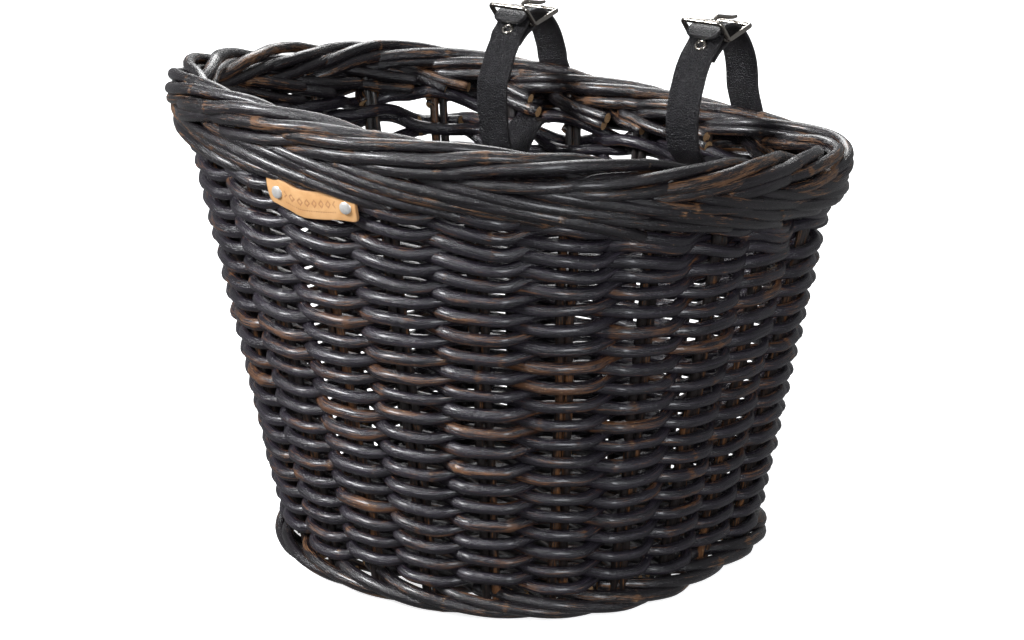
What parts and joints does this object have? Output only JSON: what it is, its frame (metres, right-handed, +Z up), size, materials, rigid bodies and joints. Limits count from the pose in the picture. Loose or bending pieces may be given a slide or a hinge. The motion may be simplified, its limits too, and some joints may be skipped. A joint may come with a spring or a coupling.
{
  "type": "handlebar basket",
  "caption": "Woven rattan handlebar basket, D-shaped and tapered, with a sloping rolled rim and buckled leather straps at the flat back.",
  "frame": {"origin": "middle of the bounding box, on the plane that the foot stands on", "axes": "+X across the basket, along the handlebar; +Y towards the handlebar and the flat back with the straps; +Z up"},
  "size_m": [0.3758, 0.3458, 0.3116],
  "materials": {
    "cane": "dark stained rattan, semi-gloss, worn brown in patches",
    "stake": "dark stained rattan, browner and duller",
    "strap_leather": "black grained",
    "label_leather": "natural tan, smooth",
    "nickel": "polished nickel plate"
  },
  "bodies": {
    "basket": {"base_stick_1": "stake", "base_stick_2": "stake", "base_stick_3": "stake", "base_stick_4": "stake", "base_weave": "cane", "foot_border": "cane", "label": "label_leather", "label_rivet_left": "nickel", "label_rivet_right": "nickel", "open_course": "cane", "packing_course_lower": "cane", "packing_course_upper": "cane", "rim_border": "cane", "stake_pair_01": "stake", "stake_pair_02": "stake", "stake_pair_03": "stake", "stake_pair_04": "stake", "stake_pair_05": "stake", "stake_pair_06": "stake", "stake_pair_07": "stake", "stake_pair_08": "stake", "stake_pair_09": "stake", "stake_pair_10": "stake", "stake_pair_11": "stake", "stake_pair_12": "stake", "stake_pair_13": "stake", "stake_pair_14": "stake", "stake_pair_15": "stake", "stake_pair_16": "stake", "stake_pair_17": "stake", "stake_pair_18": "stake", "stake_pair_19": "stake", "stake_pair_20": "stake", "stake_pair_21": "stake", "stake_pair_22": "stake", "weave_course_01": "cane", "weave_course_02": "cane", "weave_course_03": "cane", "weave_course_04": "cane", "weave_course_05": "cane", "weave_course_06": "cane", "weave_course_07": "cane", "weave_course_08": "cane", "weave_course_09": "cane", "weave_course_10": "cane", "weave_course_11": "cane"},
    "strap_left": {"strap_left": "strap_leather", "strap_rivet_left": "nickel"},
    "buckle_left": {"buckle_frame_left": "nickel"},
    "prong_left": {"prong_left": "nickel"},
    "strap_right": {"strap_right": "strap_leather", "strap_rivet_right": "nickel"},
    "buckle_right": {"buckle_frame_right": "nickel"},
    "prong_right": {"prong_right": "nickel"}
  },
  "joints": [
    {"name": "strap_swing_left", "type": "hinge", "parent": "basket", "child": "strap_left", "pos_m": [-0.07, 0.1563, 0.241], "axis": [1, 0, 0], "range_deg": [-8, 8]},
    {"name": "buckle_tilt_left", "type": "hinge", "parent": "strap_left", "child": "buckle_left", "pos_m": [-0.07, 0.1245, 0.292], "axis": [1, 0, 0], "range_deg": [-4, 10]},
    {"name": "prong_turn_left", "type": "hinge", "parent": "buckle_left", "child": "prong_left", "pos_m": [-0.07, 0.1245, 0.292], "axis": [1, 0, 0], "range_deg": [0, 60]},
    {"name": "strap_swing_right", "type": "hinge", "parent": "basket", "child": "strap_right", "pos_m": [0.07, 0.1563, 0.241], "axis": [1, 0, 0], "range_deg": [-8, 8]},
    {"name": "buckle_tilt_right", "type": "hinge", "parent": "strap_right", "child": "buckle_right", "pos_m": [0.07, 0.1245, 0.299], "axis": [1, 0, 0], "range_deg": [-4, 10]},
    {"name": "prong_turn_right", "type": "hinge", "parent": "buckle_right", "child": "prong_right", "pos_m": [0.07, 0.1245, 0.299], "axis": [1, 0, 0], "range_deg": [0, 60]}
  ]
}
